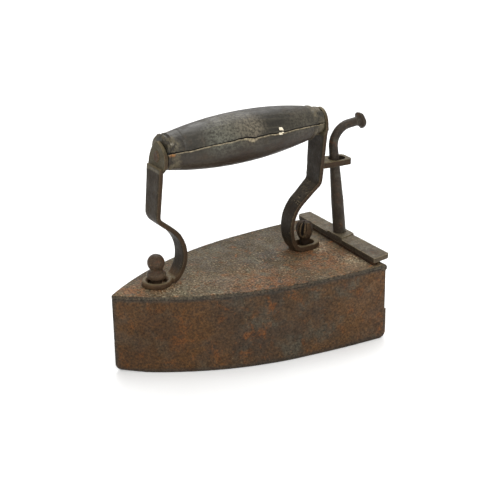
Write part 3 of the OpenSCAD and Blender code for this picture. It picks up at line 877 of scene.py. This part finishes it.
def gate_knob():
    """Mushroom head hammered over on the end of the rod, a little askew."""
    x, z, heading = rod_path()[-1]
    base = np.array(ROD_FOOT) + [x, 0, z]
    profile = smooth_curve([
        (0.02, -0.6), (2.95, -0.6), (3.0, 0.8), (3.9, 2.2), (5.3, 2.9), (5.6, 3.5),
        (5.55, 4.6), (4.8, 5.65), (3.2, 6.15), (1.2, 6.25), (0.02, 6.25),
    ])
    verts, faces = revolve(profile, 56)
    angle = np.arctan2(verts[:, 1], verts[:, 0])
    share = 1 - 0.035 * (1 + np.cos(5 * angle + 0.7)) * (verts[:, 2] > 2)
    out = verts[:, 0] * share
    along = verts[:, 2] - 0.1 * verts[:, 0] * np.clip(verts[:, 2] / 4, 0, 1)
    c, s = math.cos(heading), math.sin(heading)
    points = np.stack([along * s + out * c, verts[:, 1] * share, along * c - out * s], -1)
    mesh = mesh_of("gate_knob_forged", (place(points + base), faces))
    worn(mesh, 0.3, 3.2, 73)
    piece("gate_knob_forged", mesh, ROD_IRON, "forged_iron", "gate_knob", body="gate")


gate_bar()
gate_plate()
gate_rod()
gate_knob()

# --- Handle ---

STRAP_THICK = 3.5


def walk(x, z, heading, bends):
    """Centre line of a strap from the side: rows of X, Z and heading.

    Each of bends is a straight length, or a radius and a turn in degrees.
    """
    step = 0.6
    h = math.radians(heading)
    rows = [(x, z, h)]
    for bend in bends:
        if len(bend) == 1:
            for s in np.linspace(0, bend[0], max(2, round(bend[0] / step)))[1:]:
                rows.append((x + s * math.cos(h), z + s * math.sin(h), h))
        else:
            radius, turn = bend[0], math.radians(bend[1])
            side = math.copysign(1, turn)
            for t in np.linspace(0, turn, max(4, round(abs(turn) * radius / step)))[1:]:
                rows.append((
                    x + side * radius * (math.sin(h + t) - math.sin(h)),
                    z + side * radius * (math.cos(h) - math.cos(h + t)), h + t,
                ))
        x, z, h = rows[-1]
    return np.array(rows)


def strap(rows, widths, offset):
    """Rounded flat bar carried along a centre line.

    widths lists heights and widths, and offset gives Y from a height.
    """
    angle = full_turn(40)
    power = 2 / 7
    u = np.sign(np.cos(angle)) * np.abs(np.cos(angle)) ** power
    v = np.sign(np.sin(angle)) * np.abs(np.sin(angle)) ** power
    loops = []
    for x, z, h in rows:
        half = np.interp(z, [w[0] for w in widths], [w[1] for w in widths]) / 2
        out = v * STRAP_THICK / 2
        side = offset(z) + u * half
        loops.append(np.stack([x - out * math.sin(h), side, z + out * math.cos(h)], -1))
    return loft(np.array(loops))


# A leaf plate's head on each side of its point, as shares of its half width and
# millimetres below the point
POINTED_FAR = [(0, 0), (0.3, 1.3), (0.6, 4.2), (0.8, 7.2), (0.93, 10.5), (1, 13.5), (1, 16)]
POINTED_NEAR = [(0, 0), (0.3, 1.2), (0.6, 2.9), (0.83, 4.8), (0.97, 7.4), (1, 10), (1, 14)]
ROUNDED = [(0, 0), (0.32, 0.7), (0.58, 2.2), (0.78, 4.6), (0.92, 7.7), (1, 12.5)]


def leaf(x, low, strap_half, far_head, near_head, far, near, apex):
    """Plate that leans back against the end of the grip. far and near are the
    half widths to each side of its point."""
    sides = []
    for head, half, way in ((near_head, near, 1), (far_head, far, -1)):
        side = smooth_curve([(way * share * half, apex - down) for share, down in head])
        sides.append(np.vstack([side, [(way * strap_half, low)]]))
    outline = np.vstack([sides[0][::-1][:-1], sides[1]])
    y, z = outline.T
    lean = x - (z - GRIP_Z) * math.tan(LEAN)
    return loft(np.array([np.stack([lean + depth, y, z], -1) for depth in (0, LEAF_THICK)]))


def oval(x, y, radius, spread, wobble, seed):
    """Outline of two half circles with their centres spread apart along X."""
    count = 72
    rows = []
    for k in range(count):
        t = 2 * math.pi * k / count
        r = radius + wobble * math.sin(2 * t + seed) + 0.6 * wobble * math.sin(3 * t + 2 * seed)
        middle = x + math.copysign(spread, math.cos(t))
        rows.append((middle + r * math.cos(t), y + r * math.sin(t)))
    return np.array(rows)


FRONT_SIDE = 1.718
FRONT_TILT = FRONT_SIDE / (GRIP_Z - TOP)


def upright(node, part, seed):
    """Runs the parts of an upright together, in the handle's frame, and wears them."""
    mesh = fused(f"{node}_forged", moved(part, handle), 0.27, 2)
    worn(mesh, 0.3, 7, seed, pit=0.12, pit_size=1.4)
    piece(f"{node}_forged", mesh, FORGED, "forged_iron", node)


def front_upright():
    """Strap from a round eye at the toe up to a pointed leaf."""
    def offset(z):
        return -FRONT_SIDE + (z - TOP) * FRONT_TILT

    rows = walk(126.5, TOP + 2.0, 180, [
        (4.9, -50), (20.5, -40), (23.5, -50), (10,), (6, 54.8), (29.0,),
    ])
    widths = [(49, 10.4), (56, 11.4), (80, 12.4), (90, 13.6), (97, 14.9), (112, 15.9), (126, 16.4)]
    section = [
        (8.9, 0.1), (9.3, 0.6), (9.35, 2.4), (8.9, 3.4), (8.1, 3.75), (7.0, 3.6), (6.1, 2.9),
        (5.7, 2.0), (5.7, 0.1), (8.9, 0.1),
    ]
    upright("front_upright", join(
        strap(rows, widths, offset),
        leaf(FRONT_LEAF, 122.6, 6.0, POINTED_FAR, POINTED_NEAR, 9.2, 10.6, 141.0),
        ring([(oval(134.9, -FRONT_SIDE, r, 0, 0.22, 1.3), TOP + h) for r, h in section]),
    ), 81)


def rear_upright():
    """Strap from a long eye near the gate up to a rounded leaf."""
    rows = walk(34.9, TOP + 2.0, 0, [
        (4.05, 60), (24.5, 30), (22.5, 50), (14,), (5, -45.2), (31.5,),
    ])
    widths = [(49, 10.6), (56, 11.7), (78, 12.4), (88, 13.2), (96, 15), (112, 16.4), (128.2, 17.9)]
    outer = oval(29.0, 0, 7.2, 3.0, 0.3, 2.2)
    inner = oval(28.8, 0, 5.0, 1.3, 0.2, 0.7)
    section = [
        (0.1, 0.1), (0, 0.6), (0, 3.2), (0.12, 3.8), (0.8, 3.9), (0.95, 3.7), (1, 2.8),
        (1, 0.1), (0.1, 0.1),
    ]
    upright("rear_upright", join(
        strap(rows, widths, lambda z: 0),
        leaf(REAR_LEAF, 126, 8.6, ROUNDED, ROUNDED, 9.8, 9.8, 142.2),
        ring([(outer + share * (inner - outer), TOP + h) for share, h in section]),
    ), 91)


def guide_eye():
    """Slotted eye behind the rear upright. It sits a little lower than its node."""
    low, high = [corner.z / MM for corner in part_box("guide_eye")]
    slot, reach, slot_radius = np.array([4.75, -2.0]), 2.1, 4.4
    outer = resample([
        (-6.8, -3.5), (-4.9, -5.7), (0, -6.4), (reach, -6.6), (13.6, -7.5),
        (13.6, 5.1), (reach, 6.1), (-5.1, 6.5), (-6.8, 4.9),
    ], 240)
    middle = reach / 2
    inner = []
    for x, y in outer:
        t = math.atan2(y, x - middle)
        spread = math.copysign(min(abs(3 * math.cos(t)), 1) * middle, math.cos(t))
        inner.append((middle + spread + slot_radius * math.cos(t), slot_radius * math.sin(t)))
    outer, inner = outer + slot, np.array(inner) + slot
    low, high = low - 0.35, high - 0.45
    part = ring([(outer, low), (outer, high), (inner, high), (inner, low), (outer, low)])
    mesh = fused("guide_eye_forged", moved(part, place), 0.24, 3)
    worn(mesh, 0.16, 4, 95)
    piece("guide_eye_forged", mesh, FORGED, "forged_iron", "guide_eye")


GRIP_START, GRIP_END = 18.95, 130.35
# Grooves turned round the grip: place along the iron, width and depth
GROOVES = [
    (22.6, 0.8, 0.5), (24.4, 0.5, 0.5), (28.4, 0.5, 0.35), (120.0, 0.5, 0.2), (127.6, 0.6, 0.7),
]
# Route of the crack along the near side of the grip: place along the iron and
# angle up from the middle, in degrees
CRACK = [
    (18, 4), (25, 5), (33, 8), (43, 10), (49, 9), (55, 8), (60, 10), (65, 12.5), (70, 11.4),
    (74.5, 9.4), (77, 12), (79.5, 14.2), (83, 14.6), (87, 14), (94, 13.5), (101, 13), (109, 11.5),
    (116, 9.5), (121, 9), (126, 10), (131, 10.5),
]
CRACK_X, CRACK_ANGLE = np.array(CRACK, float).T
CRACK_ANGLE = np.radians(CRACK_ANGLE)
# The crack's lip bulges at a splinter. Outside NARROW the crack opens wider.
SPLINTER = 77
NARROW = (28, 121)


def bell(x, middle, width):
    return math.exp(-(((x - middle) / width) ** 2))


def wander(x, y, size, seed):
    """A number from -1 to 1 that drifts along the grip."""
    return lumps(np.array([[x, y, 0]]) * MM, size * MM, seed)[0]


def barrel(x):
    """Radius of the turned grip, with its collars, grooves and rounded ends."""
    radius = GRIP_RADIUS - (GRIP_CURVE - math.sqrt(GRIP_CURVE**2 - (x - GRIP_MIDDLE) ** 2))
    front_collar, rear_bead = 119.5, 26.2
    collar = 10.75 + 0.25 * math.sin(1.9 * x)
    radius += max(0, collar - radius) * min(1, max(0, (x - front_collar) / 1.6))
    radius += 0.45 * bell(x, rear_bead, 1.3)
    for groove, width, depth in GROOVES:
        radius -= depth * bell(x, groove, width)
    rounded = 0.8
    to_end = min(x - GRIP_START, GRIP_END - x)
    return radius - rounded * max(0, 1 - to_end / rounded) ** 2


def split(x, above):
    """Depth of the crack, and shares of its inside, painted dark as painted shade,
    and of the pale lip below it, at points so many millimetres above it."""
    opening = 0.32 + 0.16 * wander(x, 3, 7, 8)
    opening += 0.5 * max(0, (x - NARROW[1]) / 9) + 0.12 * max(0, (NARROW[0] - x) / 9)
    inside = np.clip((opening - np.abs(above)) / 0.14 + 0.5, 0, 1)
    splinter = bell(x, SPLINTER, 3.2)
    lip = np.clip((above + opening + 0.95 + 1.6 * splinter) / 0.7, 0, 1) * (above < -opening * 0.6)
    depth = np.maximum(1.5 * inside, (0.5 - 0.5 * splinter * math.sin(3.1 * x)) * lip)
    brink = np.clip(1 - (above - opening) / 0.25, 0, 1) * (above > 0) * (above < opening + 0.25)
    return depth, np.clip(inside + 0.8 * brink, 0, 1), lip * (1 - inside)


def grip():
    """Turned barrel with worn collars, split along its near side."""
    gap = np.array([0.0, 0.18, 0.3, 0.42, 0.55, 0.75, 1.0, 1.3, 1.7, 2.2, 2.8, 3.6, 4.6])
    round_trip = 2 * math.pi * GRIP_RADIUS
    rest = np.linspace(gap[-1], round_trip - gap[-1], 150)[1:-1]
    above = np.concatenate([-gap[:0:-1], gap, rest])
    around = above / GRIP_RADIUS
    above = np.where(above > round_trip / 2, above - round_trip, above)
    loops, dark, lip, bare = [], [], [], []
    for x in np.linspace(GRIP_START, GRIP_END, 330):
        jitter = 0.25 * wander(x, 0, 2.6, 5) / GRIP_RADIUS
        angle = np.interp(x, CRACK_X, CRACK_ANGLE) + jitter + around
        depth, shade_in_crack_here, lip_here = split(x, above)
        r = barrel(x) - depth + 0.45 * np.clip(-np.sin(angle), 0, 1)
        up = r * np.sin(angle)
        loops.append(np.stack([x - up * math.tan(LEAN), r * np.cos(angle), GRIP_Z + up], -1))
        dark.append(shade_in_crack_here)
        lip.append(lip_here)
        bare_along = max(0, 1 - ((x - 127.8) / 2.6) ** 2)
        bare.append(bare_along * np.clip(1 - ((above + 1.5) / 1.6) ** 2, 0, 1))
    hubs = [(loop + loop.mean(0)) / 2 for loop in (loops[0], loops[-1])]
    loops = np.array([hubs[0], *loops, hubs[1]])
    mesh = mesh_of("grip_turned", loft(handle(loops)), weld=0)
    none = np.zeros(len(above))
    # The split values mark the crack's inside, which the wood paints near black as painted shade.
    for name, rows in (("lip", lip), ("split", dark), ("bare", bare)):
        keep(mesh, name, np.array([none, *rows, none]))
    worn(mesh, 0.12, 16, 101)
    low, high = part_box("grip")
    co = read(mesh, "co")
    grain = np.clip(lumps(co * np.array([0.12, 1, 1]), 0.9 * MM, 7), 0, 1) * 0.1
    to_end = np.minimum(co[:, 0] - low.x, high.x - co[:, 0]) / (12 * MM)
    knocks = np.clip(1 - to_end, 0, 1) * np.clip(layers(co, 2.8 * MM, 17), 0, 1) * 1.7
    sink(mesh, grain + knocks)
    piece("grip_turned", mesh, GRIP_WOOD, "charred_wood", "grip")


# Chips of filler: place along the iron, angle up in degrees, length, width, thickness
CHIPS = [
    (55.6, 18.4, 1.5, 1.1, 0.5), (54.2, 15.6, 0.6, 0.8, 0.35),
    (55.9, 7.0, 1.5, 0.85, 0.45), (54.2, 8.6, 0.7, 0.5, 0.3),
]


def filler_chips():
    """Bits of pale filler stuck over the crack."""
    pebble = smooth_curve([(0.02, -1), (0.7, -0.8), (1, 0), (0.7, 0.8), (0.02, 1)])
    parts = []
    for k, (x, degrees, long, wide, thick) in enumerate(CHIPS):
        verts, faces = revolve(pebble, 24)
        verts = verts * (1 + 0.35 * lumps(verts, 0.8, 60 + k))[:, None]
        t = math.radians(degrees)
        out, up = np.array([0, math.cos(t), math.sin(t)]), np.array([0, -math.sin(t), math.cos(t)])
        along = np.array([1, 0, 0.15])
        verts = verts[:, :1] * long * along + verts[:, 1:2] * wide * up + verts[:, 2:] * thick * out
        parts.append((verts + on_grip(x, degrees, -0.12), faces))
    mesh = fused("filler_chips", moved(join(*parts), handle), 0.12, 1)
    piece("filler_chips", mesh, FILLER, "charred_wood")


def core_rod():
    """Rod through the grip, hammered over outside both leaf plates."""
    low, high = REAR_LEAF - 0.25, FRONT_LEAF + LEAF_THICK
    profile = smooth_curve([
        (0.02, low - 0.9), (1.6, low - 0.9), (3.0, low - 0.5), (3.5, low + 0.1),
        (3.2, low + 0.6), (3.2, high - 0.6), (3.7, high), (3.5, high + 0.55),
        (2.6, high + 1.0), (1.2, high + 0.8), (0.02, high + 0.75),
    ])
    verts, faces = revolve(profile, 36)
    across, up, along = verts.T
    bend = 100
    front = along > bend
    points = np.stack([
        along - up * math.tan(LEAN), across * 0.85 + 0.8 * front, up + GRIP_Z - 1.6 * front,
    ], -1)
    mesh = worn(mesh_of("core_rod_peened", (handle(points), faces)), 0.25, 2.2, 111)
    piece("core_rod_peened", mesh, FOOT_IRON, "forged_iron", "grip_core_rod")


def front_stud():
    """Turned collar and neck, with a ball on top."""
    radius, middle = 5.4, 14.4
    collar = smooth_curve([
        (0.02, 0.3), (3.5, 0.3), (3.6, 3.3), (4.5, 3.8), (5.6, 4.8), (6.05, 6.4), (5.9, 7.7),
        (5.1, 8.7), (4.2, 9.2), (3.9, 9.8), (4.0, 10.6),
    ])
    turns = np.linspace(0.95, math.pi - 0.004, 32)
    ball = [(radius * math.sin(t), middle - radius * math.cos(t)) for t in turns]
    verts, faces = revolve([*collar, *ball], 64)
    mesh = mesh_of("front_stud_turned", (verts * MM + np.array(FRONT_FOOT), faces))
    worn(mesh, 0.16, 3.5, 121)
    piece("front_stud_turned", mesh, FOOT_IRON, "forged_iron", "front_stud")


# Cracks down the rear stud: angle round it in degrees, width, depth and lowest height
STUD_CRACKS = [(8, 0.12, 0.8, 9), (40, 0.16, 1.0, 8.5), (70, 0.07, 0.45, 11)]


def rear_stud():
    """Rough forged head, split by cracks that run down it."""
    profile = smooth_curve([
        (0.02, 0.3), (3.5, 0.3), (3.6, 5.4), (4.1, 6.9), (5.0, 8.4), (5.55, 10.4), (5.8, 12.6),
        (5.65, 14.8), (5.0, 16.5), (3.7, 17.5), (1.6, 17.95), (0.02, 17.95),
    ])
    verts, faces = revolve(profile, 96)
    height, angle = verts[:, 2], np.arctan2(verts[:, 1], verts[:, 0])
    radius = np.hypot(verts[:, 0], verts[:, 1])
    crack = np.zeros(len(verts))
    for degrees, width, deep, foot in STUD_CRACKS:
        turn = np.angle(np.exp(1j * (angle - math.radians(degrees) - 0.02 * (height - 12))))
        crack += deep * np.exp(-((turn / width) ** 2)) * np.clip((height - foot) / 2, 0, 1)
    flats = 0.3 * np.cos(5 * angle + 0.6) * np.clip((height - 8) / 3, 0, 1)
    eaten = radius - 1.5 * crack * (radius > 1.2) - 0.3 - flats
    scale = np.where(radius > 0.5, eaten / np.maximum(radius, 0.5), 1)
    verts[:, :2] *= scale[:, None]
    mesh = mesh_of("rear_stud_forged", (verts * MM + np.array(REAR_FOOT), faces), weld=0)
    keep(mesh, "crack", np.clip(2.2 * crack - 0.4, 0, 1))
    worn(mesh, 0.3, 2.2, 125, pit=0.2, pit_size=0.9)
    piece("rear_stud_forged", mesh, REAR_STUD, "forged_iron", "rear_stud")


front_upright()
rear_upright()
guide_eye()
grip()
filler_chips()
core_rod()
front_stud()
rear_stud()

# --- CAD nodes that stay ---

KEPT_NODES = {
    "slug_rests": SOLE_IRON,
    "left_gate_rail": WALL,
    "right_gate_rail": WALL,
    "front_stud_washer": GATE_IRON,
    "rear_stud_washer": GATE_IRON,
    "heating_slug": SLUG_IRON,
}
for name, material in KEPT_NODES.items():
    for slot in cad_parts[name].material_slots:
        slot.material = material

# --- Floor, light and camera ---

def floor():
    """Pale floor with a very faint glow, which lightens the shadow on it."""
    half = 5.0
    corners = [(-half, -half, 0), (half, -half, 0), (half, half, 0), (-half, half, 0)]
    mesh = bpy.data.meshes.new("floor")
    mesh.from_pydata(corners, [], [(0, 1, 2, 3)])
    paint = Paint("pale_floor", "f6f6f5")
    fine = paint.noise(60, 2, 0.5)
    paint.over(paint.band(fine, 0.3, 0.7), "f3f3f2")
    paint.shader.inputs["Emission Color"].default_value = (1, 1, 1, 1)
    paint.shader.inputs["Emission Strength"].default_value = 0.07
    mesh.materials.append(paint.finish(0.9, paint.bump(fine, 0.05)))
    linked("floor", mesh)


def area_light(name, position, target, size, power):
    data = bpy.data.lights.new(name, "AREA")
    data.shape = "DISK"
    data.size = size
    data.energy = power
    light = linked(name, data)
    light.location = position
    light.rotation_euler = (Vector(target) - Vector(position)).to_track_quat("-Z", "Y").to_euler()


def studio(strength):
    """White surroundings."""
    world = bpy.data.worlds.new("studio")
    world.use_nodes = True
    background = world.node_tree.nodes["Background"]
    background.inputs["Color"].default_value = (1, 1, 1, 1)
    background.inputs["Strength"].default_value = strength
    bpy.context.scene.world = world


def camera(position, turn, dip, roll):
    """Camera that looks along turn and dip, in degrees, and is tilted by roll."""
    data = bpy.data.cameras.new("camera")
    data.sensor_width = 36
    data.lens = 92.44
    data.clip_start = 0.01
    data.clip_end = 50
    turn, dip, roll = [math.radians(angle) for angle in (turn, dip, roll)]
    ahead = Vector((math.cos(dip) * math.cos(turn), math.cos(dip) * math.sin(turn), math.sin(dip)))
    side = ahead.cross(Vector((0, 0, 1))).normalized()
    up = side.cross(ahead)
    right = side * math.cos(roll) + up * math.sin(roll)
    above = -side * math.sin(roll) + up * math.cos(roll)
    rotation = Matrix((right, above, -ahead)).transposed().to_4x4()
    obj = linked("camera", data)
    obj.matrix_world = Matrix.Translation(position) @ rotation
    bpy.context.scene.camera = obj


floor()
area_light("key_softbox", (0.35, 1.05, 1.05), (0, 0, 0.05), 0.8, 11)
area_light("top_softbox", (-0.3, -0.3, 1.35), (0, 0, 0.05), 0.9, 7)
area_light("back_softbox", (-0.9, -1.7, 1.7), (-0.6, -1.2, 0), 1.6, 26)
studio(0.68)
camera((0.34775, 0.64194, 0.36965), 240.738, -22.8845, -0.802)
bpy.context.scene.view_settings.view_transform = "Standard"
